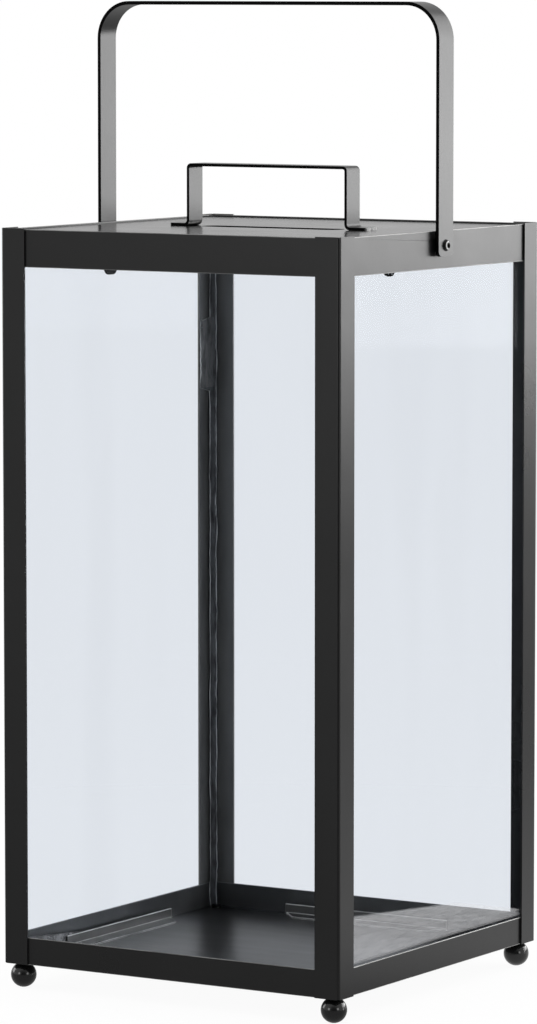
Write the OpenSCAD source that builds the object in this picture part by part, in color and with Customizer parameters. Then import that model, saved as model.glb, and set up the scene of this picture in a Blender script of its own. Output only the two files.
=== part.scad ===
// Tall square candle lantern: sheet steel frame, four glass panes, ball feet,
// a lift-off lid with its own strap handle, and a swinging bail.
// Millimetres. +Z up, +X along the front, front face at -Y.
// Origin at the centre of the square, on the surface the feet stand on.

/* [Frame] */
// Outside width and depth of the square frame
frame_w = 240; // [225:1:260]
// Height of the frame, without the feet
frame_h = 452; // [400:1:500]
// Thickness of the frame sheet
sheet_t = 1.2; // [1.0:0.1:1.4]
// Width of each flange of a corner post
post_leg = 17; // [15:0.5:19]
// Outside radius of a post's bend
post_bend_r = 1.8; // [1.6:0.1:2.2]
// Radius on the outer corners of a post's ends
post_end_r = 2; // [1:0.1:2.5]
// Height of the four top rails
top_rail_h = 23; // [21:0.5:25]
// How far the posts stand above the top rails
post_rise = 0.6; // [0.4:0.1:1.0]
// Height of the four bottom rails
bottom_rail_h = 17; // [14:0.5:20]

/* [Glass] */
// Thickness of a pane
pane_t = 3; // [2.5:0.1:3.2]
// How far a pane reaches up behind its top rail
pane_overlap = 5; // [4:0.5:6]
// Radius of the cove on a corner's sealant bead
seal_r = 2.5; // [2:0.1:2.6]

/* [Pane holders] */
// Length of the angle strip along the foot of each pane
strip_len = 120; // [90:1:150]
// Height of the strip's upright flange
strip_h = 7; // [5:0.5:9]
// Width of the strip's foot
strip_foot = 12.6; // [10:0.1:14]
// Bevel at each end of the strip's foot
strip_bevel = 12; // [6:1:16]
// Width of a top clip
clip_w = 14; // [12:0.5:16]
// How far the clips at the left and the rear hang below the rail
clip_drop = 11; // [6:0.5:14]
// Offset of the rear clip from the middle of its side
rear_clip_x = 14; // [0:1:30]

/* [Lid] */
// Thickness of the lid
lid_t = 1.2; // [1.0:0.1:1.6]
// Depth of the lid's top below the top rails
lid_drop = 1.1; // [0.6:0.1:2]
// Gap between the lid and the rails round it
lid_gap = 0.4; // [0.3:0.1:1]
// Length of the vent slot
slot_len = 100; // [60:1:106]
// Width of the vent slot
slot_w = 17; // [10:0.5:24]
// Length of each corner seat under the lid
seat_leg = 18; // [14:1:24]

/* [Lid handle] */
// Width of the handle over its legs
handle_w = 115.3; // [112:0.1:124]
// Height of the handle above the lid
handle_h = 38.8; // [32:0.1:42]
// Width of the handle's strap
handle_strap_w = 15.4; // [12:0.1:18]
// Thickness of the handle's strap
handle_strap_t = 1.8; // [1.5:0.1:2]
// Length of each foot, out from the leg
handle_foot = 13.0; // [10.5:0.1:14]

/* [Bail] */
// Height of the bail's top above the frame
bail_rise = 136.8; // [120:0.1:150]
// Width of the bail's strap
bail_strap_w = 17.4; // [13:0.1:18]
// Thickness of the bail's strap
bail_strap_t = 2.2; // [2:0.1:2.5]
// Outside radius of the bail's bends
bail_bend_r = 23; // [16:0.5:26]
// Depth of the pivot below the top of the posts
pivot_drop = 9.4; // [9:0.1:10]
// Length of the strap beyond its pivot
bail_tail = 6.7; // [6:0.1:8]
// Thickness of the spacer between rail and strap
spacer_t = 1.6; // [1.5:0.1:2.2]

/* [Feet] */
// Diameter of a ball foot
ball_d = 15.8; // [14:0.1:17]
// Distance of a foot's centre from both outer faces
foot_inset = 8.6; // [8.4:0.1:8.8]

/* [Hidden] */

// Facets asked for on round features
$fn = 64;
// Overrun of a cutting solid past the face it cuts
cut = 1;

// Heights above the ground
ball_r = ball_d / 2;
// Flat on the top and the bottom of a ball, as depth taken off
ball_top_flat = 0.3;
ball_bottom_flat = 0.1;
base_z = ball_d - ball_top_flat - ball_bottom_flat;
floor_z = base_z + sheet_t;
post_top_z = base_z + frame_h;
rail_top_z = post_top_z - post_rise;
rail_low_z = rail_top_z - top_rail_h;
pane_top_z = rail_low_z + pane_overlap;
lid_top_z = rail_top_z - lid_drop;
lid_low_z = lid_top_z - lid_t;
pivot_z = post_top_z - pivot_drop;
bail_top_z = post_top_z + bail_rise;

// Distances of the layers of a side from the centre, from the outside in
post_face = frame_w / 2;
rail_face = post_face - sheet_t;
pane_face = rail_face - sheet_t;
pane_back = pane_face - pane_t;
// Gap between a pane and the clip or strip behind it
pane_gap = 0.2;
holder_face = pane_back - pane_gap;
holder_back = holder_face - sheet_t;
// Gap between a pane's end and the layer line of the next side
pane_end = pane_back - pane_gap;
// Gap above a pane's top edge
pane_top_gap = 0.4;

// Gap between faces that slide on each other at the pivot
slide_gap = 0.1;
bail_inside = rail_face + spacer_t + slide_gap;
bail_half = bail_inside + bail_strap_t;
// Radius on the corners of the strap's ends
bail_end_r = 3.5;

// Fasteners: M4 pivot screws, M3 foot screws, 4 mm rivets
pivot_r = 2;
pivot_head_r = 3.6;
pivot_head_h = 2.3;
pivot_hex = 2.5;
pivot_hex_depth = 1.3;
nut_flats = 7;
nut_t = 3.2;
spacer_r = 4.5;
foot_screw_r = 1.5;
foot_screw_head_r = 2.8;
foot_screw_head_h = 1.9;
foot_screw_len = 9;
recess_w = 0.7;
recess_l = 3.2;
recess_depth = 0.9;
rivet_r = 2;
rivet_head_r = 3.6;
rivet_head_h = 1.4;
// Radial clearance of a running fit, and of a through hole
running = 0.05;
clearance = 0.15;

// Handle bends
handle_half = handle_w / 2;
handle_top_r = 3;
handle_foot_r = 2;
handle_foot_corner_r = 2.5;
rivet_x = handle_half + handle_foot * 0.58;
// Radius of the lid's corners
lid_corner_r = 2;
// How far a clip that doesn't show stays above the rail's lower edge
clip_hide = 0.6;
clip_corner_r = 5;

paint = [0.07, 0.07, 0.075];
gloss = [0.03, 0.03, 0.03];
clear_glass = [0.8, 0.85, 0.88, 0.35];
sealant = [0.25, 0.25, 0.26];
zinc = [0.2, 0.2, 0.21];

// Places a shape made for the front left corner at corner [x side, y side]
module at_corner(side) {
    mirror([side[0] > 0 ? 1 : 0, 0, 0])
        mirror([0, side[1] > 0 ? 1 : 0, 0])
            children();
}

// Turns a shape made for the front side to another side
module at_side(name) {
    turn = name == "front" ? 0 : name == "right" ? 90 : name == "rear" ? 180 : -90;
    rotate([0, 0, turn])
        children();
}

// Square with its corner at the origin, and that corner rounded
module corner_square(side, r) {
    translate([r, 0])
        square([side - r, side]);
    translate([0, r])
        square([side, side - r]);
    translate([r, r])
        circle(r);
}

// Rectangle from the origin with the two corners on its left side rounded
module left_round_rect(w, h, r) {
    translate([r, 0])
        square([w - r, h]);
    translate([0, r])
        square([w, h - 2 * r]);
    for (y = [r, h - r])
        translate([r, y])
            circle(r);
}

// Centred rectangle with four rounded corners
module round_rect(w, h, r) {
    square([w - 2 * r, h], center = true);
    square([w, h - 2 * r], center = true);
    for (x = [-1, 1], y = [-1, 1])
        translate([x * (w / 2 - r), y * (h / 2 - r)])
            circle(r);
}

// Upright rectangle centred on X, from low to high, with round top corners
module arch(half, low, high, r) {
    translate([-half, low])
        square([2 * half, high - r - low]);
    translate([-half + r, low])
        square([2 * (half - r), high - low]);
    for (x = [-1, 1])
        translate([x * (half - r), high - r])
            circle(r);
}

// Upside-down U of strap, half wide outside, seen from the front
module strap_arch(half, low, high, t, r) {
    difference() {
        arch(half, low, high, r);
        arch(half - t, low - cut, high - t, r - t);
    }
}

// Stands an outline drawn in X and Z on its edge, w thick and centred on Y
module upright(w) {
    translate([0, w / 2, 0])
        rotate([90, 0, 0])
            linear_extrude(w)
                children();
}

// Cylinder along +X
module x_rod(r, x0, x1) {
    translate([x0, 0, 0])
        rotate([0, 90, 0])
            cylinder(r = r, h = x1 - x0);
}

// Corner post: a steel angle with a rounded bend and rounded ends
module post(side) {
    color(paint)
        at_corner(side)
            translate([-post_face, -post_face, base_z])
                intersection() {
                    linear_extrude(frame_h)
                        corner_square(post_leg, post_bend_r);
                    union() {
                        translate([0, sheet_t, 0])
                            rotate([90, 0, 0])
                                linear_extrude(sheet_t)
                                    left_round_rect(post_leg, frame_h, post_end_r);
                        mirror([1, -1, 0])
                            translate([0, sheet_t, 0])
                                rotate([90, 0, 0])
                                    linear_extrude(sheet_t)
                                        left_round_rect(post_leg, frame_h, post_end_r);
                    }
                }
}

// Flat rail between two posts, held behind their flanges
module rail(low, height) {
    translate([-pane_face, -rail_face, low])
        cube([2 * pane_face, sheet_t, height]);
}

module top_rail(name) {
    color(paint)
        at_side(name)
            difference() {
                rail(rail_low_z, top_rail_h);
                if (name == "left" || name == "right")
                    translate([0, -post_face, pivot_z])
                        rotate([-90, 0, 0])
                            cylinder(r = pivot_r + clearance, h = 2 * sheet_t + cut);
            }
}

module bottom_rail(name) {
    color(paint)
        at_side(name)
            rail(base_z, bottom_rail_h);
}

// Floor of the lantern, inside the bottom rails
module base_plate() {
    foot_at = post_face - foot_inset;
    color(paint)
        difference() {
            translate([-pane_face, -pane_face, base_z])
                cube([2 * pane_face, 2 * pane_face, sheet_t]);
            for (x = [-1, 1], y = [-1, 1])
                translate([x * foot_at, y * foot_at, base_z - cut])
                    cylinder(r = foot_screw_r + clearance, h = sheet_t + 2 * cut);
        }
}

// Glass pane, standing on the floor behind the rails
module pane(name) {
    color(clear_glass)
        at_side(name)
            translate([-pane_end, -pane_face, floor_z])
                cube([2 * pane_end, pane_t, pane_top_z - floor_z]);
}

// Sealant bead that fills a corner between two panes, with a coved face
module seal(side) {
    color(sealant)
        at_corner(side)
            translate([-pane_face, -pane_face, floor_z])
                linear_extrude(pane_top_z - floor_z)
                    union() {
                        square(pane_t + pane_gap);
                        translate([pane_t, pane_t])
                            difference() {
                                square(seal_r);
                                translate([seal_r, seal_r])
                                    circle(seal_r);
                            }
                    }
}

// Angle strip that keeps the foot of a pane against its rail
module pane_strip(name) {
    half = strip_len / 2;
    color(paint)
        at_side(name) {
            translate([-half, -holder_face, floor_z])
                cube([strip_len, sheet_t, strip_h]);
            translate([0, -holder_face, floor_z])
                linear_extrude(sheet_t)
                    polygon([
                        [-half, 0],
                        [half, 0],
                        [half - strip_bevel, strip_foot],
                        [strip_bevel - half, strip_foot]
                    ]);
        }
}

// Stepped clip that keeps the top of a pane against its rail
module pane_clip(name, centre, low) {
    step_z = pane_top_z + pane_top_gap;
    plate_h = lid_low_z - sheet_t - step_z;
    color(paint)
        at_side(name)
            difference() {
                union() {
                    translate([centre - clip_w / 2, -pane_face, step_z])
                        cube([clip_w, sheet_t, plate_h]);
                    translate([centre - clip_w / 2, -pane_face, step_z])
                        cube([clip_w, pane_face - holder_back, sheet_t]);
                    translate([centre, -holder_back, (low + step_z + sheet_t) / 2])
                        rotate([90, 0, 0])
                            linear_extrude(sheet_t)
                                clip_tail(step_z + sheet_t - low);
                }
                if (name == "left" || name == "right")
                    translate([0, -post_face, pivot_z])
                        rotate([-90, 0, 0])
                            cylinder(r = pivot_r + clearance, h = 2 * sheet_t + pane_t);
            }
}

// Tail of a clip: square at the top, rounded at the bottom
module clip_tail(h) {
    r = min(clip_corner_r, h / 3);
    translate([-clip_w / 2, r - h / 2])
        square([clip_w, h - r]);
    translate([r - clip_w / 2, -h / 2])
        square([clip_w - 2 * r, r]);
    for (x = [-1, 1])
        translate([x * (clip_w / 2 - r), r - h / 2])
            circle(r);
}

// Corner gusset that the lid lies on
module lid_seat(side) {
    color(paint)
        at_corner(side)
            translate([-pane_face, -pane_face, lid_low_z - sheet_t])
                linear_extrude(sheet_t)
                    polygon([[0, 0], [seat_leg, 0], [0, seat_leg]]);
}

// Ball foot, tapped for its screw and just flattened where it stands
module foot(side) {
    at = post_face - foot_inset;
    color(gloss)
        at_corner(side)
            translate([-at, -at, 0])
                difference() {
                    translate([0, 0, ball_r - ball_bottom_flat])
                        sphere(r = ball_r);
                    translate([-ball_r, -ball_r, -ball_r])
                        cube([ball_d, ball_d, ball_r]);
                    translate([-ball_r, -ball_r, base_z])
                        cube([ball_d, ball_d, ball_r]);
                    translate([0, 0, floor_z - foot_screw_len - cut])
                        cylinder(r = foot_screw_r + running, h = foot_screw_len + cut);
                }
}

// Pan head screws that hold the feet up to the floor, heads inside
module foot_screws() {
    at = post_face - foot_inset;
    color(zinc)
        for (x = [-1, 1], y = [-1, 1])
            translate([x * at, y * at, floor_z])
                difference() {
                    union() {
                        cylinder(r = foot_screw_head_r, h = foot_screw_head_h);
                        translate([0, 0, -foot_screw_len])
                            cylinder(r = foot_screw_r, h = foot_screw_len);
                    }
                    for (turn = [0, 90])
                        rotate([0, 0, turn])
                            translate([-recess_l / 2, -recess_w / 2, foot_screw_head_h - recess_depth])
                                cube([recess_l, recess_w, recess_depth + cut]);
                }
}

// Lid: a flat plate that drops in between the top rails, with a vent slot
module lid_plate() {
    half = pane_face - lid_gap;
    straight = slot_len - slot_w;
    color(paint)
        translate([0, 0, lid_low_z])
            linear_extrude(lid_t)
                difference() {
                    round_rect(2 * half, 2 * half, lid_corner_r);
                    square([straight, slot_w], center = true);
                    for (x = [-1, 1]) {
                        translate([x * straight / 2, 0])
                            circle(slot_w / 2);
                        translate([x * rivet_x, 0])
                            circle(rivet_r + running);
                    }
                }
}

// One foot of the handle, drawn for the right side in X and Z
module handle_foot_outline() {
    bend = handle_foot_r + handle_strap_t;
    difference() {
        union() {
            translate([handle_half - handle_strap_t, lid_top_z])
                square([handle_foot + handle_strap_t, handle_strap_t]);
            translate([handle_half - handle_strap_t, lid_top_z])
                square([bend, bend]);
        }
        translate([handle_half + handle_foot_r, lid_top_z + bend])
            circle(handle_foot_r);
        translate([handle_half - handle_strap_t, lid_top_z])
            difference() {
                square(bend);
                translate([bend, bend])
                    circle(bend);
            }
    }
}

// Strap handle of the lid, with feet turned outwards
module lid_handle() {
    leg_low = lid_top_z + handle_foot_r + handle_strap_t;
    color(paint)
        difference() {
            intersection() {
                upright(handle_strap_w) {
                    strap_arch(handle_half, leg_low, lid_top_z + handle_h, handle_strap_t, handle_top_r);
                    for (side = [0, 1])
                        mirror([side, 0])
                            handle_foot_outline();
                }
                translate([0, 0, lid_top_z - cut])
                    linear_extrude(handle_h + 2 * cut)
                        round_rect(handle_w + 2 * handle_foot, handle_strap_w, handle_foot_corner_r);
            }
            for (x = [-1, 1])
                translate([x * rivet_x, 0, lid_top_z - cut])
                    cylinder(r = rivet_r + running, h = handle_strap_t + 2 * cut);
        }
}

// Rivets that hold the handle's feet, domed under the lid and flush on top
module handle_rivets() {
    color(paint)
        for (x = [-1, 1])
            translate([x * rivet_x, 0, lid_low_z]) {
                cylinder(r = rivet_r, h = lid_t + handle_strap_t);
                mirror([0, 0, 1])
                    dome(rivet_head_r, rivet_head_h);
            }
}

// Shallow dome of base radius r and height h, standing on the XY plane
module dome(r, h) {
    ball = (r * r + h * h) / (2 * h);
    intersection() {
        translate([0, 0, h - ball])
            sphere(r = ball);
        cylinder(r = r + cut, h = h + cut);
    }
}

// Bail: one bent strap, pivoted at both ends
module bail() {
    low = pivot_z - bail_tail;
    height = bail_top_z - low;
    color(paint)
        difference() {
            intersection() {
                upright(bail_strap_w)
                    strap_arch(bail_half, low, bail_top_z, bail_strap_t, bail_bend_r);
                translate([-bail_half - cut, 0, low])
                    rotate([90, 0, 90])
                        linear_extrude(2 * (bail_half + cut))
                            strap_end(height + cut);
            }
            translate([0, 0, pivot_z])
                x_rod(pivot_r + running, -bail_half - cut, bail_half + cut);
        }
}

// Side outline of the bail's strap, with its two lower corners rounded
module strap_end(h) {
    translate([-bail_strap_w / 2, bail_end_r])
        square([bail_strap_w, h - bail_end_r]);
    translate([bail_end_r - bail_strap_w / 2, 0])
        square([bail_strap_w - 2 * bail_end_r, bail_end_r]);
    for (x = [-1, 1])
        translate([x * (bail_strap_w / 2 - bail_end_r), bail_end_r])
            circle(bail_end_r);
}

// Button head screw with a hexagon socket, made for the right side
module pivot_screw(side) {
    under_head = bail_half + slide_gap;
    shank_end = pane_face - sheet_t - nut_t - running;
    color(zinc)
        translate([0, 0, pivot_z])
            mirror([side < 0 ? 1 : 0, 0, 0])
                difference() {
                    union() {
                        x_rod(pivot_r, shank_end, under_head);
                        translate([under_head, 0, 0])
                            rotate([0, 90, 0])
                                dome(pivot_head_r, pivot_head_h);
                    }
                    translate([under_head + pivot_head_h - pivot_hex_depth, 0, 0])
                        rotate([0, 90, 0])
                            cylinder(d = pivot_hex / cos(30), h = pivot_hex_depth + cut, $fn = 6);
                }
}

// Washer that keeps the bail's strap clear of the rail and the posts
module pivot_spacer(side) {
    color(zinc)
        translate([0, 0, pivot_z])
            mirror([side < 0 ? 1 : 0, 0, 0])
                difference() {
                    x_rod(spacer_r, rail_face, rail_face + spacer_t);
                    x_rod(pivot_r + clearance, rail_face - cut, rail_face + spacer_t + cut);
                }
}

// Hexagon nut inside, on the clip that it clamps to the rail
module pivot_nut(side) {
    nut_face = pane_face - sheet_t;
    color(zinc)
        translate([0, 0, pivot_z])
            mirror([side < 0 ? 1 : 0, 0, 0])
                difference() {
                    translate([nut_face - nut_t, 0, 0])
                        rotate([0, 90, 0])
                            cylinder(d = nut_flats / cos(30), h = nut_t, $fn = 6);
                    x_rod(pivot_r + running, nut_face - nut_t - cut, nut_face + cut);
                }
}

front_left = [-1, -1];
front_right = [1, -1];
rear_left = [-1, 1];
rear_right = [1, 1];
clip_shown_z = rail_low_z - clip_drop;
clip_hidden_z = rail_low_z + clip_hide;

post(front_left);  // post_front_left
post(front_right);  // post_front_right
post(rear_left);  // post_rear_left
post(rear_right);  // post_rear_right
top_rail("front");  // top_rail_front
top_rail("rear");  // top_rail_rear
top_rail("left");  // top_rail_left
top_rail("right");  // top_rail_right
bottom_rail("front");  // bottom_rail_front
bottom_rail("rear");  // bottom_rail_rear
bottom_rail("left");  // bottom_rail_left
bottom_rail("right");  // bottom_rail_right
base_plate();
pane("front");  // pane_front
pane("rear");  // pane_rear
pane("left");  // pane_left
pane("right");  // pane_right
seal(front_left);  // seal_front_left
seal(front_right);  // seal_front_right
seal(rear_left);  // seal_rear_left
seal(rear_right);  // seal_rear_right
pane_strip("front");  // pane_strip_front
pane_strip("rear");  // pane_strip_rear
pane_strip("left");  // pane_strip_left
pane_strip("right");  // pane_strip_right
pane_clip("front", 0, clip_hidden_z);  // pane_clip_front
pane_clip("rear", -rear_clip_x, clip_shown_z);  // pane_clip_rear
pane_clip("left", 0, clip_shown_z);  // pane_clip_left
pane_clip("right", 0, clip_hidden_z);  // pane_clip_right
lid_seat(front_left);  // lid_seat_front_left
lid_seat(front_right);  // lid_seat_front_right
lid_seat(rear_left);  // lid_seat_rear_left
lid_seat(rear_right);  // lid_seat_rear_right
foot(front_left);  // foot_front_left
foot(front_right);  // foot_front_right
foot(rear_left);  // foot_rear_left
foot(rear_right);  // foot_rear_right
foot_screws();
lid_plate();
lid_handle();
handle_rivets();
bail();
pivot_screw(-1);  // pivot_screw_left
pivot_screw(1);  // pivot_screw_right
pivot_spacer(-1);  // pivot_spacer_left
pivot_spacer(1);  // pivot_spacer_right
pivot_nut(-1);  // pivot_nut_left
pivot_nut(1);  // pivot_nut_right
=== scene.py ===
import math

import bmesh
import bpy
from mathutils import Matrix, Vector, noise


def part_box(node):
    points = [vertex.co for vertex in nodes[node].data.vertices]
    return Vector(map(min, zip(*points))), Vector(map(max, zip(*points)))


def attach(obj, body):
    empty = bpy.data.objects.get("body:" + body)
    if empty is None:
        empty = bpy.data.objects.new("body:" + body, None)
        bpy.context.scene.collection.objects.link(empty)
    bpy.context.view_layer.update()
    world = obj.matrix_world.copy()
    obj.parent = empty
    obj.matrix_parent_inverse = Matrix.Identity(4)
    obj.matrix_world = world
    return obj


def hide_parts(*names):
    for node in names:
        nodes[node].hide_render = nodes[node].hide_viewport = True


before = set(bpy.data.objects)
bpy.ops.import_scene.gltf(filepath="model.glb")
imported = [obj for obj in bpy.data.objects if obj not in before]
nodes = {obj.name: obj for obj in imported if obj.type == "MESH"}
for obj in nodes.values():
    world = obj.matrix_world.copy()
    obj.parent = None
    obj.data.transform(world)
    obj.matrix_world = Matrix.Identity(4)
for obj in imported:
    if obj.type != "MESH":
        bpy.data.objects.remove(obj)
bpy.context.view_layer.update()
scene = bpy.context.scene

CORNERS = ("front_left", "front_right", "rear_left", "rear_right")

# Camera, in degrees and metres round the lantern; the lens and its sensor in millimetres
CAMERA_AZIMUTH = 31.66
CAMERA_ELEVATION = 5.59
CAMERA_DISTANCE = 3.350
CAMERA_TARGET = Vector((-0.003, 0.0, 0.290))
CAMERA_LENS = 190.6
CAMERA_SENSOR = 36.0
CAMERA_NEAR = 0.05
CAMERA_FAR = 60.0

# Colours, linear
PAPER_WHITE = (1.0, 1.0, 1.0)
PAPER_DARK = (0.90, 0.90, 0.90)
PAPER_PALE = (0.94, 0.94, 0.94)
PAINT_BLACK = (0.0055, 0.0055, 0.0056)
PAINT_DUST = (0.03, 0.03, 0.03)
# Painted shade on the straps' front and rear edges
CUT_SHADE_BLACK = (0.001, 0.001, 0.001)
# Painted light on the faces that look into the lantern, on rails and strips and on the rear post
INSIDE_LIT_DARK = (0.022, 0.022, 0.021)
INSIDE_LIT_PALE = (0.040, 0.0395, 0.038)
INSIDE_POST_LIT_DARK = (0.070, 0.068, 0.063)
INSIDE_POST_LIT_PALE = (0.125, 0.121, 0.112)
# Painted highlight along rounded paint edges
EDGE_HIGHLIGHT_DARK = (0.07, 0.07, 0.07)
EDGE_HIGHLIGHT_PALE = (0.20, 0.20, 0.198)
# Brighter painted highlight along the pane strips' and right rails' edges
STRIP_HIGHLIGHT_DARK = (0.22, 0.22, 0.215)
STRIP_HIGHLIGHT_PALE = (0.5, 0.5, 0.49)
# Painted highlight on the upright ends of the handle's feet
FOOT_HIGHLIGHT_DARK = (0.12, 0.12, 0.12)
FOOT_HIGHLIGHT_PALE = (0.55, 0.55, 0.54)
ENAMEL_BLACK = (0.0025, 0.0025, 0.0026)
ENAMEL_DUST = (0.02, 0.02, 0.02)
OXIDE_BLACK = (0.004, 0.004, 0.004)
OXIDE_WORN = (0.018, 0.018, 0.019)
# Painted glint on the pivot screw heads
OXIDE_GLINT = (0.75, 0.75, 0.74)
SEALANT_GREY = (0.11, 0.112, 0.114)
SEALANT_DARK = (0.022, 0.022, 0.023)
# Painted highlight along the sealant beads' lips
LIP_HIGHLIGHT_PALE = (0.80, 0.80, 0.79)
LIP_HIGHLIGHT_DARK = (0.20, 0.20, 0.20)
SMEAR_PALE = (0.17, 0.17, 0.168)
SMEAR_DARK = (0.04, 0.04, 0.04)
GLASS_GLEAM = (0.8, 0.84, 0.88)
# Colour of the glass haze and films; on the right pane's film it is a painted reflection
HAZE_AND_PAINTED_REFLECTION = (0.7, 0.70, 0.71)
# What one face of a pane lets through
PANE_TINT = (0.929, 0.940, 0.955)
PANE_TINT_SWIPED = (0.914, 0.925, 0.941)

# Noise textures, as repeats per metre, detail and roughness
COAT_CLOUDS = (14.0, 2.0, 0.5)
COAT_MARKS = (95.0, 5.0, 0.62)
COAT_DUST = (900.0, 1.0, 0.5)
COAT_PEEL = (700.0, 2.0, 0.5)
COAT_WAVES = (60.0, 2.0, 0.5)
EDGE_RUNS = (45.0, 4.0, 0.6)
EDGE_GRAIN = (900.0, 2.0, 0.5)
FOOT_RUNS = (260.0, 3.0, 0.6)
INSIDE_CLOUDS = (60.0, 4.0, 0.6)
ENAMEL_SPECKS = (1500.0, 1.0, 0.5)
ENAMEL_CLOUDS = (220.0, 3.0, 0.5)
ENAMEL_WAVES = (240.0, 3.0, 0.5)
OXIDE_RUBS = (700.0, 4.0, 0.6)
OXIDE_GRAIN = (1800.0, 2.0, 0.5)
SEALANT_CLOUDS = (240.0, 4.0, 0.6)
SEALANT_GRAIN = (500.0, 3.0, 0.5)
GLASS_WIPES = (2.0, 5.0, 0.6)
PAPER_GRAIN = (320.0, 4.0, 0.5)
# The same in repeats per stretched unit, where the coordinates set the scale
PLATE_STREAKS = (1.0, 2.0, 0.5)
FILM_STREAKS = (1.0, 4.0, 0.65)
GLASS_SWIPES = (1.0, 2.0, 0.4)

# Bumps, as strength and height in metres; a coat's waves get their strength from the paint
WAVE_HEIGHT = 0.0006
PEEL_BUMP = (0.10, 0.00012)
EDGE_BUMP = (0.1, 0.0001)
ENAMEL_BUMP = (0.12, 0.0002)
OXIDE_BUMP = (0.12, 0.00006)
SEALANT_BUMP = (0.3, 0.0003)

# Spans of a noise value or of a facing, over which one look turns into the other
MOST = (0.3, 0.7)
CORE = (0.35, 0.65)
TIGHT = (0.4, 0.6)
STREAKED = (0.35, 0.7)
MARKED = (0.58, 0.8)
DUSTY = (0.72, 0.8)
SPECKLED = (0.74, 0.8)
RUBBED = (0.55, 0.8)
WIPED = (0.5, 0.8)
WIPED_WIDE = (0.3, 0.8)
SWIPED = (0.52, 0.70)
SQUARELY = (0.7, 0.95)

# Spans of roughness, and of how much dust or film there is
PAINT_MARK_ROUGHNESS = (0.0, 0.03)
PAINT_STREAK_ROUGHNESS = (-0.015, 0.015)
PAINT_DUST_SHARE = (0.0, 0.5)
EDGE_ROUGHNESS = (0.28, 0.4)
ENAMEL_ROUGHNESS = (0.14, 0.20)
OXIDE_ROUGHNESS = (0.12, 0.22)
SEALANT_ROUGHNESS = (0.22, 0.45)
GLASS_ROUGHNESS = (0.01, 0.07)
GLASS_HAZE = (0.0, 0.008)
# For a share that falls along its span
FALLING = (1.0, 0.0)

# A strap's cut edges, darkened as a painted shade: how far they go towards that black, and how dull they are
CUT_SHADE_SHARE = 0.7
CUT_ROUGHNESS = 0.6
CUT_SPECULAR = 0.02
FOOT_ROUGHNESS = 0.3
INSIDE_ROUGHNESS = 0.34
ENAMEL_COAT = 0.25
ENAMEL_COAT_ROUGHNESS = 0.04

# Strength of a coat's waves
PAINT_WAVE = 0.12
PLATE_WAVE = 0.03

PAINT_IOR = 1.40
STRAP_IOR = 1.43
CLIP_IOR = 1.2
PLATE_IOR = 1.50
INSIDE_IOR = 1.7
ENAMEL_IOR = 1.45
OXIDE_IOR = 1.3
SEALANT_IOR = 1.42


def direction(azimuth, elevation):
    """Unit vector from the lantern towards a viewer at that azimuth and elevation, in degrees."""
    a, e = math.radians(azimuth), math.radians(elevation)
    return Vector((math.sin(a) * math.cos(e), -math.cos(a) * math.cos(e), math.sin(e)))


# ---------------------------------------------------------------- node tools

def new_material(name):
    mat = bpy.data.materials.new(name)
    mat.use_nodes = True
    tree = mat.node_tree
    tree.nodes.clear()
    out = tree.nodes.new("ShaderNodeOutputMaterial")
    return mat, tree, out


def set_input(tree, node, key, value):
    socket = node.inputs[key] if isinstance(key, int) else node.inputs[key.replace("_", " ")]
    if isinstance(value, bpy.types.NodeSocket):
        tree.links.new(value, socket)
    elif isinstance(value, tuple) and len(value) == 3 and socket.type == "RGBA":
        socket.default_value = (*value, 1.0)
    else:
        socket.default_value = value


def add(tree, kind, **values):
    """A node with its sockets set by name; a value that is a socket is linked."""
    node = tree.nodes.new(kind)
    for key, value in values.items():
        set_input(tree, node, key, value)
    return node


def coords_of(tree, output="Object"):
    """A texture coordinate: the place on the object in metres, its Normal, or a direction as Generated."""
    return tree.nodes.new("ShaderNodeTexCoord").outputs[output]


def stretched(tree, scale, turn=(0.0, 0.0, 0.0)):
    """Position on the object in metres, stretched by scale and turned by those angles in radians."""
    mapping = add(tree, "ShaderNodeMapping", Vector=coords_of(tree), Scale=scale, Rotation=turn)
    return mapping.outputs["Vector"]


def parts_of(tree, vector):
    """The X, Y and Z of a vector."""
    return add(tree, "ShaderNodeSeparateXYZ", Vector=vector).outputs


def noise_of(tree, vector, texture):
    scale, detail, roughness = texture
    node = add(tree, "ShaderNodeTexNoise", Vector=vector, Scale=scale, Detail=detail, Roughness=roughness)
    return node.outputs["Fac"]


def ramp(tree, fac, span, to=(0.0, 1.0)):
    """fac, from the first to the second end of span, spread over to and held at its ends."""
    node = add(tree, "ShaderNodeMapRange", Value=fac, From_Min=span[0], From_Max=span[1])
    node.inputs["To Min"].default_value = to[0]
    node.inputs["To Max"].default_value = to[1]
    return node.outputs["Result"]


def math_node(tree, operation, *values):
    node = tree.nodes.new("ShaderNodeMath")
    node.operation = operation
    for index, value in enumerate(values):
        set_input(tree, node, index, value)
    return node.outputs["Value"]


def vector_measure(tree, operation, *values):
    """A number worked out from vectors: a LENGTH or a DOT_PRODUCT."""
    node = tree.nodes.new("ShaderNodeVectorMath")
    node.operation = operation
    for index, value in enumerate(values):
        set_input(tree, node, index, value)
    return node.outputs["Value"]


def mix_colour(tree, fac, a, b):
    node = tree.nodes.new("ShaderNodeMix")
    node.data_type = "RGBA"
    factor_in, a_in, b_in, colour_out = 0, 6, 7, 2
    set_input(tree, node, factor_in, fac)
    set_input(tree, node, a_in, a)
    set_input(tree, node, b_in, b)
    return node.outputs[colour_out]


def mix_shader(tree, fac, a, b):
    node = add(tree, "ShaderNodeMixShader", Fac=fac)
    tree.links.new(a, node.inputs[1])
    tree.links.new(b, node.inputs[2])
    return node.outputs["Shader"]


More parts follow.
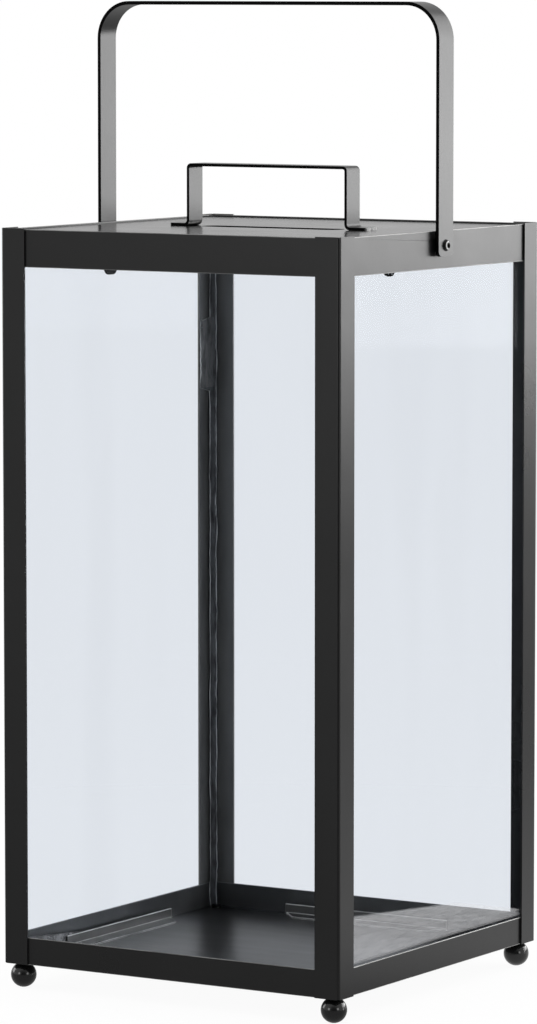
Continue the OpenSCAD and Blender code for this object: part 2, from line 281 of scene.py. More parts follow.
def bump_of(tree, height, bump, normal=None):
    strength, distance = bump
    node = add(tree, "ShaderNodeBump", Height=height, Strength=strength, Distance=distance)
    if normal is not None:
        tree.links.new(normal, node.inputs["Normal"])
    return node.outputs["Normal"]


def principled(tree, colour, roughness, normal):
    return add(tree, "ShaderNodeBsdfPrincipled", Base_Color=colour, Roughness=roughness, Normal=normal)


# ---------------------------------------------------------------- paint

def satin_paint(name, roughness, spread, streak=None, finish=None, ior=PAINT_IOR, wave=PAINT_WAVE):
    """Black powder coat: fine orange peel, a slow change of gloss, and faint handling marks.

    streak stretches fine lines of gloss; finish changes the coat's shader on some faces.
    """
    mat, tree, out = new_material(name)
    place = coords_of(tree)
    gloss = ramp(tree, noise_of(tree, place, COAT_CLOUDS), MOST, (roughness - spread, roughness + spread))
    marks = ramp(tree, noise_of(tree, place, COAT_MARKS), MARKED, PAINT_MARK_ROUGHNESS)
    rough = math_node(tree, "ADD", gloss, marks)
    if streak is not None:
        lines = noise_of(tree, stretched(tree, streak), PLATE_STREAKS)
        rough = math_node(tree, "ADD", rough, ramp(tree, lines, STREAKED, PAINT_STREAK_ROUGHNESS))
    dust = ramp(tree, noise_of(tree, place, COAT_DUST), DUSTY, PAINT_DUST_SHARE)
    colour = mix_colour(tree, dust, PAINT_BLACK, PAINT_DUST)
    normal = bump_of(tree, noise_of(tree, place, COAT_WAVES), (wave, WAVE_HEIGHT))
    normal = bump_of(tree, noise_of(tree, place, COAT_PEEL), PEEL_BUMP, normal)
    shader = principled(tree, colour, rough, normal)
    shader.inputs["IOR"].default_value = ior
    surface = shader.outputs["BSDF"]
    if finish is not None:
        surface = finish(tree, surface, colour, normal)
    tree.links.new(surface, out.inputs["Surface"])
    return mat


def over_cut_edges_painted_shade(tree, surface, colour, normal):
    """The sheared long edges of a strap, which face front and rear, are painted darker and made matt: a
    painted shade.
    """
    facing = math_node(tree, "ABSOLUTE", parts_of(tree, coords_of(tree, "Normal"))["Y"])
    # Faces that look front or rear are darkened and dulled: painted shade
    dull = mix_colour(tree, CUT_SHADE_SHARE, colour, CUT_SHADE_BLACK)
    matt = principled(tree, dull, CUT_ROUGHNESS, normal)
    matt.inputs["Specular IOR Level"].default_value = CUT_SPECULAR
    return mix_shader(tree, ramp(tree, facing, SQUARELY), surface, matt.outputs["BSDF"])


def over_feet_painted_highlight(foot_top):
    """A strap's finish with the upright ends of its feet, which lie below foot_top, painted lighter in runs:
    a painted highlight.
    """
    blur = 0.0003

    def over(tree, surface, colour, normal):
        surface = over_cut_edges_painted_shade(tree, surface, colour, normal)
        facing = math_node(tree, "ABSOLUTE", parts_of(tree, coords_of(tree, "Normal"))["X"])
        low = ramp(tree, parts_of(tree, coords_of(tree))["Z"], (foot_top, foot_top + blur), FALLING)
        ends = math_node(tree, "MULTIPLY", ramp(tree, facing, SQUARELY), low)
        runs = ramp(tree, noise_of(tree, coords_of(tree), FOOT_RUNS), TIGHT)
        # The upright ends get a pale colour in runs: a painted highlight
        lit_ends = principled(tree, mix_colour(tree, runs, FOOT_HIGHLIGHT_DARK, FOOT_HIGHLIGHT_PALE), FOOT_ROUGHNESS, normal)
        return mix_shader(tree, ends, surface, lit_ends.outputs["BSDF"])
    return over


def inner_faces_painted_light(dark, light):
    """A finish for the faces of a rear or left part that look into the lantern: painted lighter in clouds, as
    painted light, and dull.
    """
    lengthwise = (1.0, 1.0, 0.25)

    def over(tree, surface, colour, normal):
        facing = parts_of(tree, coords_of(tree, "Normal"))
        forward = math_node(tree, "MULTIPLY", facing["Y"], -1.0)
        inward = math_node(tree, "MAXIMUM", facing["X"], forward)
        cloud = ramp(tree, noise_of(tree, stretched(tree, lengthwise), INSIDE_CLOUDS), MOST)
        # Faces that look into the lantern get a paler colour: painted light
        dull = principled(tree, mix_colour(tree, cloud, dark, light), INSIDE_ROUGHNESS, normal)
        dull.inputs["IOR"].default_value = INSIDE_IOR
        return mix_shader(tree, ramp(tree, inward, SQUARELY), surface, dull.outputs["BSDF"])
    return over


def painted_highlight_edge(name, dark, light):
    """A sheared edge's finish, painted lighter in runs: a painted highlight along the edge."""
    mat, tree, out = new_material(name)
    runs = noise_of(tree, coords_of(tree), EDGE_RUNS)
    colour = mix_colour(tree, ramp(tree, runs, CORE), dark, light)
    normal = bump_of(tree, noise_of(tree, coords_of(tree), EDGE_GRAIN), EDGE_BUMP)
    shader = principled(tree, colour, ramp(tree, runs, MOST, EDGE_ROUGHNESS), normal)
    tree.links.new(shader.outputs["BSDF"], out.inputs["Surface"])
    return mat


# ---------------------------------------------------------------- enamel, screws and sealant

def gloss_enamel(name):
    """Deep black enamel of the balls, with a clear coat and a little dust."""
    mat, tree, out = new_material(name)
    place = coords_of(tree)
    dust = ramp(tree, noise_of(tree, place, ENAMEL_SPECKS), SPECKLED)
    colour = mix_colour(tree, dust, ENAMEL_BLACK, ENAMEL_DUST)
    rough = ramp(tree, noise_of(tree, place, ENAMEL_CLOUDS), MOST, ENAMEL_ROUGHNESS)
    normal = bump_of(tree, noise_of(tree, place, ENAMEL_WAVES), ENAMEL_BUMP)
    shader = principled(tree, colour, rough, normal)
    shader.inputs["IOR"].default_value = ENAMEL_IOR
    shader.inputs["Coat Weight"].default_value = ENAMEL_COAT
    shader.inputs["Coat Roughness"].default_value = ENAMEL_COAT_ROUGHNESS
    tree.links.new(shader.outputs["BSDF"], out.inputs["Surface"])
    return mat


# The painted glint on a pivot screw's head, a pale ring painted on the front of its shoulder: its radius, the
# distances from that over which it ends, and the places along Y, from the axis, over which its front half
# ends, in metres
GLINT_RING_RADIUS = 0.0022
GLINT_RING_ENDS = (0.0002, 0.00042)
GLINT_RING_FRONT = (0.0003, 0.0009)


def painted_glint_ring(tree, axis):
    """1 on the front half of a ring round the pivots' axis, given as (Y, Z), and 0 elsewhere: the mask of a
    painted glint.
    """
    place = parts_of(tree, coords_of(tree))
    y = math_node(tree, "SUBTRACT", place["Y"], axis[0])
    z = math_node(tree, "SUBTRACT", place["Z"], axis[1])
    squares = [math_node(tree, "MULTIPLY", side, side) for side in (y, z)]
    across = math_node(tree, "SQRT", math_node(tree, "ADD", *squares))
    off = math_node(tree, "ABSOLUTE", math_node(tree, "SUBTRACT", across, GLINT_RING_RADIUS))
    ring = ramp(tree, off, GLINT_RING_ENDS, FALLING)
    return math_node(tree, "MULTIPLY", ring, ramp(tree, y, GLINT_RING_FRONT, FALLING))


def black_oxide(name, axis=None):
    """Oiled black oxide of the screws, spacers and nuts: nearly black, with a crisp gloss.

    axis is the (Y, Z) of the pivots, whose screw heads get a painted glint: a pale ring on the front of the
    shoulder.
    """
    mat, tree, out = new_material(name)
    place = coords_of(tree)
    rub = noise_of(tree, place, OXIDE_RUBS)
    colour = mix_colour(tree, ramp(tree, rub, RUBBED), OXIDE_BLACK, OXIDE_WORN)
    if axis is not None:
        # A pale ring on the front of the screw head's shoulder: a painted glint
        colour = mix_colour(tree, painted_glint_ring(tree, axis), colour, OXIDE_GLINT)
    normal = bump_of(tree, noise_of(tree, place, OXIDE_GRAIN), OXIDE_BUMP)
    shader = principled(tree, colour, ramp(tree, rub, MOST, OXIDE_ROUGHNESS), normal)
    shader.inputs["IOR"].default_value = OXIDE_IOR
    tree.links.new(shader.outputs["BSDF"], out.inputs["Surface"])
    return mat


def sealant(name, light, dark):
    """Grey silicone, unevenly smoothed, clouded between two shades."""
    lengthwise = (1.0, 1.0, 0.3)
    mat, tree, out = new_material(name)
    cloud = noise_of(tree, stretched(tree, lengthwise), SEALANT_CLOUDS)
    colour = mix_colour(tree, ramp(tree, cloud, CORE), light, dark)
    normal = bump_of(tree, noise_of(tree, coords_of(tree), SEALANT_GRAIN), SEALANT_BUMP)
    shader = principled(tree, colour, ramp(tree, cloud, MOST, SEALANT_ROUGHNESS), normal)
    shader.inputs["IOR"].default_value = SEALANT_IOR
    tree.links.new(shader.outputs["BSDF"], out.inputs["Surface"])
    return mat


# ---------------------------------------------------------------- glass

# The wipe marks' and the wide, slanting swipes' stretch, and the swipes' slant in radians
WIPE_STRETCH = (14.0, 14.0, 3.0)
SWIPE_STRETCH = (2.5, 16.0, 2.5)
SWIPE_SLANT = (0.75, 0.0, 0.75)
# How a pane's gleam grows towards grazing, as a power of the facing, and how strong it gets
GLEAM_POWER = 6.0
GLEAM_SHARE = 0.25
# Width of a film's upper and lower edge, in metres
FILM_EDGE = 0.0004
FILM_GAP_EDGE = 0.0006


def below_line(tree, along, height, points):
    """1 below a line that falls through points of (place along the pane, height), and 0 above it."""
    line = None
    for (a, za), (b, zb) in zip(points, points[1:]):
        slope = (zb - za) / (b - a)
        part = math_node(tree, "MULTIPLY_ADD", along, slope, za - slope * a)
        line = part if line is None else math_node(tree, "MINIMUM", line, part)
    under = math_node(tree, "SUBTRACT", line, height)
    return ramp(tree, under, (-FILM_EDGE, FILM_EDGE))


def pale_film_and_painted_reflection(tree, smear, grain, film, gap):
    """How much a pale film covers: between the two shares of film, and only below smear; on the right pane
    the film is a painted reflection.

    smear is a falling line near the foot, as points of (place along Y, height), and grain stretches
    the film's streaks. Below the height gap, where it is given, the film stops again.
    """
    place = parts_of(tree, coords_of(tree))
    mask = below_line(tree, place["Y"], place["Z"], smear)
    if gap is not None:
        mask = math_node(tree, "MULTIPLY", mask, ramp(tree, place["Z"], (gap, gap + FILM_GAP_EDGE)))
    cover = ramp(tree, noise_of(tree, stretched(tree, grain), FILM_STREAKS), CORE, film)
    return math_node(tree, "MULTIPLY", mask, cover)


def pane_glass(name, smear=None, grain=None, film=None, gap=None):
    """Clear float glass: a cool tint through it, a gleam near grazing, faint wipe marks and swipes.

    smear, grain, film and gap describe a pale film near the foot, as the film's function above says; on the
    right pane it is a painted reflection.
    """
    mat, tree, out = new_material(name)
    wipe = noise_of(tree, stretched(tree, WIPE_STRETCH), GLASS_WIPES)
    haze = ramp(tree, wipe, WIPED, GLASS_HAZE)
    if smear is not None:
        # The pale film near the foot; on the right pane it is a painted reflection
        haze = math_node(tree, "ADD", haze, pale_film_and_painted_reflection(tree, smear, grain, film, gap))
    swipe = noise_of(tree, stretched(tree, SWIPE_STRETCH, SWIPE_SLANT), GLASS_SWIPES)
    tint = mix_colour(tree, ramp(tree, swipe, SWIPED), PANE_TINT, PANE_TINT_SWIPED)
    clear = add(tree, "ShaderNodeBsdfTransparent", Color=tint)
    film_shader = add(tree, "ShaderNodeBsdfDiffuse", Color=HAZE_AND_PAINTED_REFLECTION)
    rough = ramp(tree, wipe, WIPED_WIDE, GLASS_ROUGHNESS)
    gleam = add(tree, "ShaderNodeBsdfGlossy", Color=GLASS_GLEAM, Roughness=rough)
    graze = add(tree, "ShaderNodeLayerWeight", Blend=0.5).outputs["Facing"]
    shine = math_node(tree, "MULTIPLY", math_node(tree, "POWER", graze, GLEAM_POWER), GLEAM_SHARE)
    body = mix_shader(tree, haze, clear.outputs[0], film_shader.outputs[0])
    tree.links.new(mix_shader(tree, shine, body, gleam.outputs[0]), out.inputs["Surface"])
    return mat


# ---------------------------------------------------------------- finishes of the CAD parts

# Upper lines of the films on the right and the left pane, as place along Y and height: on the right pane a
# painted reflection of a pale streaked surface, on the left a pale mottled film
RIGHT_REFLECTION_LINE = ((-0.1146, 0.0634), (0.027, 0.0524), (0.1146, 0.0354))
LEFT_SMEAR = ((-0.1146, 0.0324), (-0.070, 0.0320), (-0.045, 0.0240), (0.1146, 0.0100))
# Stretch of their streaks, and the least and the most that they cover
RIGHT_REFLECTION_GRAIN = (90.0, 90.0, 1500.0)
LEFT_GRAIN = (170.0, 170.0, 260.0)
RIGHT_REFLECTION_SHARE = (0.12, 0.29)
LEFT_FILM = (0.08, 0.45)
# Height below which the right pane's painted reflection stops
RIGHT_REFLECTION_FOOT = 0.0335
# Stretch of the brushed look of the floor plate
PLATE_GRAIN = (14.0, 90.0, 14.0)
# A little more than the thickness of the lid handle's strap
FOOT_HEIGHT = 0.0023

foot_top = min(v.co.z for v in nodes["lid_handle"].data.vertices) + FOOT_HEIGHT
pivot_middle = sum(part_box("pivot_screw_right"), Vector()) / 2.0

paint = satin_paint("satin_black_paint", roughness=0.30, spread=0.03)
# The rear and left parts' inward faces carry painted light
rear_paint = satin_paint("satin_black_rear", roughness=0.30, spread=0.03,
                         finish=inner_faces_painted_light(INSIDE_LIT_DARK, INSIDE_LIT_PALE))
post_paint = satin_paint("satin_black_rear_post", roughness=0.30, spread=0.03,
                         finish=inner_faces_painted_light(INSIDE_POST_LIT_DARK, INSIDE_POST_LIT_PALE))
clip_paint = satin_paint("satin_black_clip", roughness=0.50, spread=0.03, ior=CLIP_IOR)
lid_paint = satin_paint("satin_black_lid", roughness=0.20, spread=0.02)
strap_paint = satin_paint("satin_black_strap", roughness=0.30, spread=0.02, finish=over_cut_edges_painted_shade,
                          ior=STRAP_IOR)
handle_paint = satin_paint("satin_black_handle", roughness=0.30, spread=0.02,
                           finish=over_feet_painted_highlight(foot_top), ior=STRAP_IOR)
plate_paint = satin_paint("satin_black_floor", roughness=0.30, spread=0.01, streak=PLATE_GRAIN,
                          ior=PLATE_IOR, wave=PLATE_WAVE)
enamel = gloss_enamel("gloss_black_enamel")
oxide = black_oxide("black_oxide_fasteners")
glinted_head_oxide = black_oxide("black_oxide_heads_painted_glint", (pivot_middle.y, pivot_middle.z))
rubber = sealant("grey_sealant", SEALANT_GREY, SEALANT_DARK)
# The lips' paler sealant is a painted highlight
lip_highlight_rubber = sealant("sealant_lip_painted_highlight", LIP_HIGHLIGHT_PALE, LIP_HIGHLIGHT_DARK)
smear_rubber = sealant("smeared_sealant", SMEAR_PALE, SMEAR_DARK)
glass = pane_glass("clear_pane_glass")
# The right pane's film is a painted reflection of a pale streaked surface
right_glass_painted_reflection = pane_glass("pane_glass_painted_reflection", RIGHT_REFLECTION_LINE, RIGHT_REFLECTION_GRAIN, RIGHT_REFLECTION_SHARE, RIGHT_REFLECTION_FOOT)
left_glass = pane_glass("mottled_pane_glass", LEFT_SMEAR, LEFT_GRAIN, LEFT_FILM)

# Finishes by what a node's name starts with; the first that fits counts
FINISHES = (
    (("pane_front", "pane_rear"), glass),
    ("pane_right", right_glass_painted_reflection),
    ("pane_left", left_glass),
    ("seal_", rubber),
    ("foot_screws", oxide),
    ("foot_", enamel),
    ("pivot_screw", glinted_head_oxide),
    ("pivot_", oxide),
    ("bail", strap_paint),
    ("lid_handle", handle_paint),
    ("base_plate", plate_paint),
    ("lid_plate", lid_paint),
    ("post_rear_left", post_paint),
    (("bottom_rail_left", "bottom_rail_rear", "pane_strip_left", "pane_strip_rear"), rear_paint),
    ("pane_clip", clip_paint),
    ("", paint),
)

for name, node in nodes.items():
    finish = next(mat for start, mat in FINISHES if name.startswith(start))
    for slot in node.material_slots:
        slot.material = finish


# ---------------------------------------------------------------- edges

def smooth_faces():
    """A node group that drops the imported normals and shades every face smooth."""
    group = bpy.data.node_groups.new("smooth_faces", "GeometryNodeTree")
    for way in ("INPUT", "OUTPUT"):
        group.interface.new_socket("Geometry", in_out=way, socket_type="NodeSocketGeometry")
    start = group.nodes.new("NodeGroupInput")
    end = group.nodes.new("NodeGroupOutput")
    drop = group.nodes.new("GeometryNodeRemoveAttribute")
    drop.inputs["Name"].default_value = "custom_normal"
    shade = group.nodes.new("GeometryNodeSetShadeSmooth")
    group.links.new(start.outputs[0], drop.inputs["Geometry"])
    group.links.new(drop.outputs[0], shade.inputs["Geometry"])
    group.links.new(shade.outputs[0], end.inputs[0])
    return group


SMOOTH_FACES = smooth_faces()
WELD_GAP = 1e-6
SHARP_ANGLE = math.radians(40)


def soften(obj, width, segments, edge=None):
    """Rounds a part's sharp edges by a hair, as the coat does; edge is a finish for the rounding, which
    paints a highlight along it.
    """
    weld = obj.modifiers.new("weld", "WELD")
    weld.merge_threshold = WELD_GAP
    obj.modifiers.new("smooth_faces", "NODES").node_group = SMOOTH_FACES
    bevel = obj.modifiers.new("soft_edges", "BEVEL")
    bevel.width = width
    bevel.segments = segments
    bevel.limit_method = "ANGLE"
    bevel.angle_limit = SHARP_ANGLE
    if edge is not None:
        obj.data.materials.append(edge)
        bevel.material = len(obj.data.materials) - 1
    flat = obj.modifiers.new("flat_faces", "WEIGHTED_NORMAL")
    flat.mode = "FACE_AREA"


def hang_clip(node, along, down, narrow=1.0):
    """A pane clip as it hangs on the real lantern, in the place of the CAD's.

    along is how far it sits along its side and down how much lower it ends, in metres; narrow is the
    share of its width along X that is left below the rail.
    """
    obj = bpy.data.objects.new(node + "_hung", nodes[node].data.copy())
    scene.collection.objects.link(obj)
    obj.matrix_world = nodes[node].matrix_world.copy()
    rail_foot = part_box("top_rail_rear")[0].z
    middle = sum(end.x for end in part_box(node)) / 2.0 + along.x
    for v in obj.data.vertices:
        v.co += along
        if v.co.z < rail_foot:
            v.co.z -= down
            v.co.x = middle + (v.co.x - middle) * narrow
    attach(obj, "frame")
    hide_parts(node)
    return obj


# Radii of the roundings, in metres
POST_EDGE = 0.00055
SHEET_EDGE = 0.0004
THIN_EDGE = 0.0003

# Rounded edges painted lighter in runs: painted highlights
edge_highlight = painted_highlight_edge("paint_edge_painted_highlight", EDGE_HIGHLIGHT_DARK, EDGE_HIGHLIGHT_PALE)
strip_highlight = painted_highlight_edge("strip_edge_painted_highlight", STRIP_HIGHLIGHT_DARK, STRIP_HIGHLIGHT_PALE)

# Rounding by what a node's name starts with, as radius, segments and finish, the finish a painted highlight
# along the edge; the first that fits counts
ROUNDINGS = (
    ("post_", (POST_EDGE, 3, edge_highlight)),
    (("pane_strip_left", "pane_strip_rear", "top_rail_right", "bottom_rail_right"), (SHEET_EDGE, 2, strip_highlight)),
    ("pane_clip", (SHEET_EDGE, 2)),
    (("top_rail", "bottom_rail", "lid_seat", "pane_strip"), (SHEET_EDGE, 2, edge_highlight)),
    (("lid_plate", "lid_handle", "bail"), (THIN_EDGE, 2)),
    ("pane_", (THIN_EDGE, 1)),
)

hung_clips = {
    "pane_clip_left": hang_clip("pane_clip_left", along=Vector((0.0, -0.0082, 0.0)), down=-0.0013),
    "pane_clip_rear": hang_clip("pane_clip_rear", along=Vector((0.0022, 0.0, 0.0)), down=0.0019, narrow=0.6),
}
for name, obj in (*hung_clips.items(), *nodes.items()):
    rounding = next((look for start, look in ROUNDINGS if name.startswith(start)), None)
    if rounding is not None:
        soften(obj, *rounding)


# ---------------------------------------------------------------- sealant beads

# Height of a bead's rings; width and height of the lip along each of its edges
BEAD_STEP = 0.0025
LIP = 0.0006
LIP_RISE = 0.00035
# Least and most that a bead spreads over the pane along X and along Y, and its thickness
SPREAD_X = (0.0022, 0.0034)
SPREAD_Y = (0.0036, 0.0052)
THICKNESS = (0.0007, 0.0011)
# How evenly a smear spreads: the share that is left of it in the narrowest place
SMEAR_SPREAD = (0.85, 1.0)
# The smears, as lowest and highest height and how much farther they spread along Y
SMEARS = {"rear_left": (0.355, 0.4005, 0.0120), "rear_right": (0.128, 0.140, 0.0020)}
# Noise runs: the first corner's, and how far each width's lies from the corner's own
FIRST_RUN = 3.0
RUN_Y = 11.0
RUN_THICKNESS = 23.0
RUN_SMEAR = 31.0
# How a width wanders: slow and fast waves per metre, their shares, and the noise row of the fast ones
SLOW_WANDER = 55.0
FAST_WANDER = 240.0
SLOW_SHARE = 0.8
FAST_SHARE = 0.35
FAST_ROW = 7.0
# Sides of the outline below that are lips, and sides that a smear covers
LIP_SIDES = (1, 2, 7, 8)
SMEAR_SIDES = (5, 6)


def wavy(seed, place, low, high):
    """A width between low and high that wanders with place; seed picks the run."""
    slow = noise.noise(Vector((seed, place * SLOW_WANDER, 0.0)))
    fast = noise.noise(Vector((seed, place * FAST_WANDER, FAST_ROW)))
    share = 0.5 + slow * SLOW_SHARE + fast * FAST_SHARE
    return low + (high - low) * min(1.0, max(0.0, share))


def bead_outline(along_x, along_y, thick):
    """The bead's section, as (inwards along X, inwards along Y) from its corner."""
    crest = LIP * 0.3
    dip = LIP_RISE * 0.7
    flank = thick * 0.7
    hollow = thick * 1.3
    return [
        (0.0, 0.0), (along_x, 0.0), (along_x - crest, LIP_RISE), (along_x - LIP, dip), (along_x / 2.0, flank),
        (hollow, hollow),
        (flank, along_y / 2.0), (dip, along_y - LIP), (LIP_RISE, along_y - crest), (0.0, along_y),
    ]


def bead_mesh(name, rings, smeared):
    """Skin over rings of points, with the lips, whose paler finish is a painted highlight, and the smeared
    stretch in finishes of their own.

    smeared says of each ring whether the stretch above it is smeared.
    """
    count = len(rings[0])
    steps = len(rings) - 1
    plain, lip, smear = range(3)
    plain_side = [lip if k in LIP_SIDES else plain for k in range(count)]
    smeared_side = [smear if k in SMEAR_SIDES else finish for k, finish in enumerate(plain_side)]
    faces = []
    finishes = []
    for i in range(steps):
        for k in range(count):
            j = (k + 1) % count
            a, b = i * count, (i + 1) * count
            faces.append((a + k, a + j, b + j, b + k))
        finishes += smeared_side if smeared[i] else plain_side
    faces.append(tuple(range(count)))
    faces.append(tuple(steps * count + k for k in reversed(range(count))))
    finishes += [plain, plain]
    mesh = bpy.data.meshes.new(name)
    mesh.from_pydata([point for ring in rings for point in ring], [], faces)
    for finish in (rubber, lip_highlight_rubber, smear_rubber):
        mesh.materials.append(finish)
    for polygon, finish in zip(mesh.polygons, finishes):
        polygon.material_index = finish
        polygon.use_smooth = len(polygon.vertices) == 4
    bm = bmesh.new()
    bm.from_mesh(mesh)
    bmesh.ops.recalc_face_normals(bm, faces=bm.faces)
    bm.to_mesh(mesh)
    bm.free()
    return mesh


def wavy_bead(corner, seed, patch=None):
    """The sealant in a corner between two panes, tooled by hand, with a ragged lip along each edge.

    patch is (lowest height, highest height, extra spread along Y) of a smear.
    """
    node = "seal_" + corner
    low_corner, high_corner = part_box(node)
    end_y, end_x = corner.split("_")
    sign_x = -1.0 if end_x == "left" else 1.0
    sign_y = -1.0 if end_y == "front" else 1.0
    apex_x = low_corner.x if sign_x < 0 else high_corner.x
    apex_y = low_corner.y if sign_y < 0 else high_corner.y
    bottom, top = low_corner.z, high_corner.z
    steps = int((top - bottom) / BEAD_STEP)
    rings = []
    smeared = []
    for i in range(steps + 1):
        z = bottom + (top - bottom) * i / steps
        in_patch = patch is not None and patch[0] < z < patch[1]
        along_x = wavy(seed, z, *SPREAD_X)
        along_y = wavy(seed + RUN_Y, z, *SPREAD_Y)
        if in_patch:
            along_y += patch[2] * wavy(seed + RUN_SMEAR, z, *SMEAR_SPREAD)
        thick = wavy(seed + RUN_THICKNESS, z, *THICKNESS)
        outline = bead_outline(along_x, along_y, thick)
        rings.append([(apex_x - sign_x * inward_x, apex_y - sign_y * inward_y, z)
                      for inward_x, inward_y in outline])
        smeared.append(in_patch)
    obj = bpy.data.objects.new(node + "_bead", bead_mesh(node + "_bead", rings, smeared))
    scene.collection.objects.link(obj)
    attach(obj, "frame")
    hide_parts(node)


for index, corner in enumerate(CORNERS):
    wavy_bead(corner, FIRST_RUN + index, SMEARS.get(corner))


# ---------------------------------------------------------------- lights

# Where the key light stands, in degrees, and what the lights aim at
KEY_AZIMUTH = 149
MIDDLE = Vector((0.0, 0.0, 0.28))
HIGH = Vector((0.0, 0.0, 0.95))


def softbox(name, azimuth, elevation, distance, width, height, radiance, aim=MIDDLE, low=1.0):
    """Rectangular studio light; low is the brightness of its lower edge, as a share of the top's."""
    lamp = bpy.data.lights.new(name, "AREA")
    lamp.shape = "RECTANGLE"
    lamp.size = width
    lamp.size_y = height
    lamp.energy = radiance * math.pi * width * height
    obj = bpy.data.objects.new(name, lamp)
    scene.collection.objects.link(obj)
    away = direction(azimuth, elevation)
    obj.location = aim + away * distance
    obj.rotation_mode = "QUATERNION"
    obj.rotation_quaternion = away.to_track_quat("Z", "Y")
    obj.visible_camera = False
    if low != 1.0:
        lamp.use_nodes = True
        tree = lamp.node_tree
        place = parts_of(tree, tree.nodes.new("ShaderNodeNewGeometry").outputs["Parametric"])
        fade = ramp(tree, place["Y"], (0.0, 1.0), (1.0, low))
        tree.links.new(fade, tree.nodes["Emission"].inputs["Strength"])


softbox("key_right_rear", azimuth=KEY_AZIMUTH, elevation=0, distance=1.5, width=1.3, height=1.3,
        radiance=6.0, aim=HIGH, low=0.25)
softbox("side_edge_lamp", azimuth=118, elevation=4, distance=2.0, width=0.14, height=1.2, radiance=7.0)
softbox("fill_left", azimuth=-76, elevation=18, distance=1.6, width=0.7, height=1.2, radiance=3.4)
softbox("front_left_lamp", azimuth=-11, elevation=6, distance=2.2, width=0.60, height=0.60, radiance=3.6)
softbox("front_right_lamp", azimuth=66, elevation=6, distance=2.2, width=0.60, height=0.60, radiance=3.6)
softbox("overhead", azimuth=0, elevation=90, distance=2.4, width=2.6, height=2.6, radiance=0.45)


# ---------------------------------------------------------------- surroundings

# Brightness of the room on the camera's side and on the far side, and the span where one turns into the
# other, as how squarely a direction points away from the camera
ROOM_FRONT = 0.80
ROOM_REAR = 0.75
ROOM_TURN = (-0.5, 0.5)
# The share of it left below the horizon, and the heights of a view direction where it dims
ROOM_LOW = 0.5
ROOM_DIMS = (-0.15, -0.03)
# The share of it left right behind the camera, and the span, told the same way, where it dims
ROOM_CAMERA = 0.15
ROOM_BEHIND = (-0.95, -0.6)

# The studio sheet: solid to the first radius, gone at the second; how much of it is its own light
FLOOR_SOLID = 0.7
FLOOR_RADIUS = 1.6
FLOOR_GLOW = 0.95
FLOOR_DROP = 0.0001
FLOOR_SEGMENTS = 96
# How bright it looks in reflections, near the lantern and far from it, and the radii where that changes
MIRRORED_NEAR = 0.36
MIRRORED_FAR = 0.23
MIRRORED_SPAN = (0.15, 0.9)
# The same, times this, towards the key light, and the distances that way where it changes
MIRRORED_KEY = 3.0
MIRRORED_KEY_SPAN = (0.05, 0.25)


def studio_world():
    """Surroundings: white to the camera; to all else a pale room, dim low down and behind the camera."""
    world = bpy.data.worlds.new("studio")
    scene.world = world
    world.use_nodes = True
    tree = world.node_tree
    tree.nodes.clear()
    out = tree.nodes.new("ShaderNodeOutputWorld")
    view = coords_of(tree, "Generated")
    rearward = vector_measure(tree, "DOT_PRODUCT", view, -direction(CAMERA_AZIMUTH, 0))
    room = ramp(tree, rearward, ROOM_TURN, (ROOM_FRONT, ROOM_REAR))
    low = ramp(tree, parts_of(tree, view)["Z"], ROOM_DIMS, (ROOM_LOW, 1.0))
    behind = ramp(tree, rearward, ROOM_BEHIND, (ROOM_CAMERA, 1.0))
    room = math_node(tree, "MULTIPLY", math_node(tree, "MULTIPLY", room, low), behind)
    lit = add(tree, "ShaderNodeBackground", Color=PAPER_WHITE, Strength=room)
    seen = add(tree, "ShaderNodeBackground", Color=PAPER_WHITE, Strength=1.0)
    path = tree.nodes.new("ShaderNodeLightPath")
    both = mix_shader(tree, path.outputs["Is Camera Ray"], lit.outputs[0], seen.outputs[0])
    tree.links.new(both, out.inputs["Surface"])


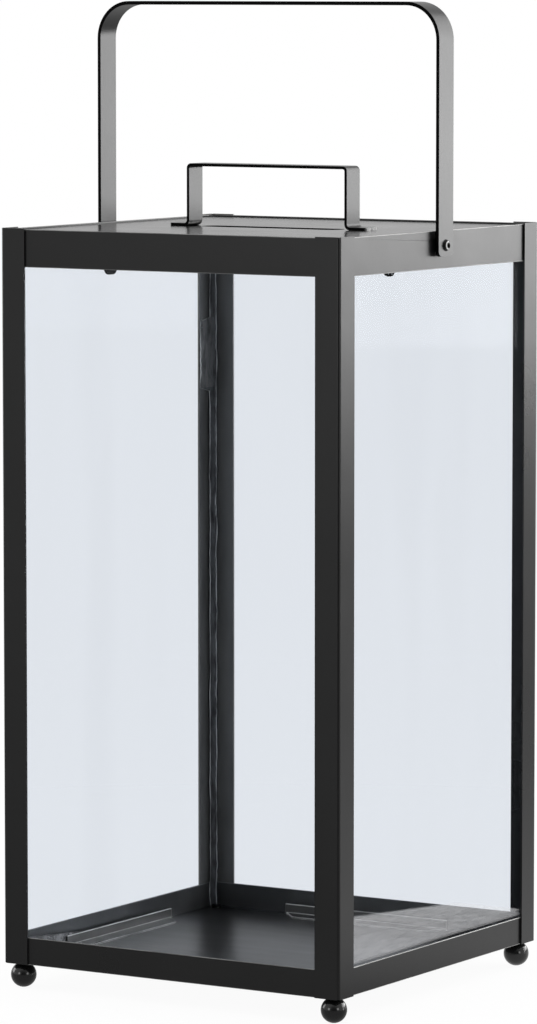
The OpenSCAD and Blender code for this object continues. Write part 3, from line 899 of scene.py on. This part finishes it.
def floor_paper(name):
    """Back-lit white studio sheet: nearly no shadow on it, dim in reflections, fading out at its rim."""
    mat, tree, out = new_material(name)
    place = coords_of(tree)
    radius = vector_measure(tree, "LENGTH", place)
    keyward = vector_measure(tree, "DOT_PRODUCT", place, direction(KEY_AZIMUTH, 0))
    colour = mix_colour(tree, noise_of(tree, place, PAPER_GRAIN), PAPER_DARK, PAPER_PALE)
    matt = add(tree, "ShaderNodeBsdfDiffuse", Color=colour)
    glow = add(tree, "ShaderNodeEmission", Color=PAPER_WHITE, Strength=1.0)
    lit = mix_shader(tree, FLOOR_GLOW, matt.outputs[0], glow.outputs[0])
    glint = math_node(tree, "MULTIPLY", ramp(tree, radius, MIRRORED_SPAN, (MIRRORED_NEAR, MIRRORED_FAR)),
                      ramp(tree, keyward, MIRRORED_KEY_SPAN, (1.0, MIRRORED_KEY)))
    mirrored = add(tree, "ShaderNodeEmission", Color=PAPER_WHITE, Strength=glint)
    path = tree.nodes.new("ShaderNodeLightPath")
    seen = mix_shader(tree, path.outputs["Is Glossy Ray"], lit, mirrored.outputs[0])
    gone = add(tree, "ShaderNodeBsdfTransparent", Color=PAPER_WHITE)
    both = mix_shader(tree, ramp(tree, radius, (FLOOR_SOLID, FLOOR_RADIUS)), seen, gone.outputs[0])
    tree.links.new(both, out.inputs["Surface"])
    return mat


def round_floor():
    """A wide disc under the feet that fades out into the white surroundings."""
    mesh = bpy.data.meshes.new("studio_floor")
    bm = bmesh.new()
    bmesh.ops.create_circle(bm, cap_ends=True, segments=FLOOR_SEGMENTS, radius=FLOOR_RADIUS)
    bm.to_mesh(mesh)
    bm.free()
    obj = bpy.data.objects.new("studio_floor", mesh)
    scene.collection.objects.link(obj)
    obj.location = (0.0, 0.0, -FLOOR_DROP)
    mesh.materials.append(floor_paper("studio_paper"))


studio_world()
round_floor()

scene.view_settings.view_transform = "Standard"
scene.view_settings.look = "None"
scene.view_settings.exposure = 0.0
scene.view_settings.gamma = 1.0

# ---------------------------------------------------------------- camera

lens = bpy.data.cameras.new("camera")
camera = bpy.data.objects.new("camera", lens)
scene.collection.objects.link(camera)
back = direction(CAMERA_AZIMUTH, CAMERA_ELEVATION)
lens.sensor_width = CAMERA_SENSOR
lens.lens = CAMERA_LENS
lens.clip_start = CAMERA_NEAR
lens.clip_end = CAMERA_FAR
camera.location = CAMERA_TARGET + back * CAMERA_DISTANCE
camera.rotation_mode = "QUATERNION"
camera.rotation_quaternion = (-back).to_track_quat("-Z", "Y")
scene.camera = camera

# ---------------------------------------------------------------- update

bpy.context.view_layer.update()
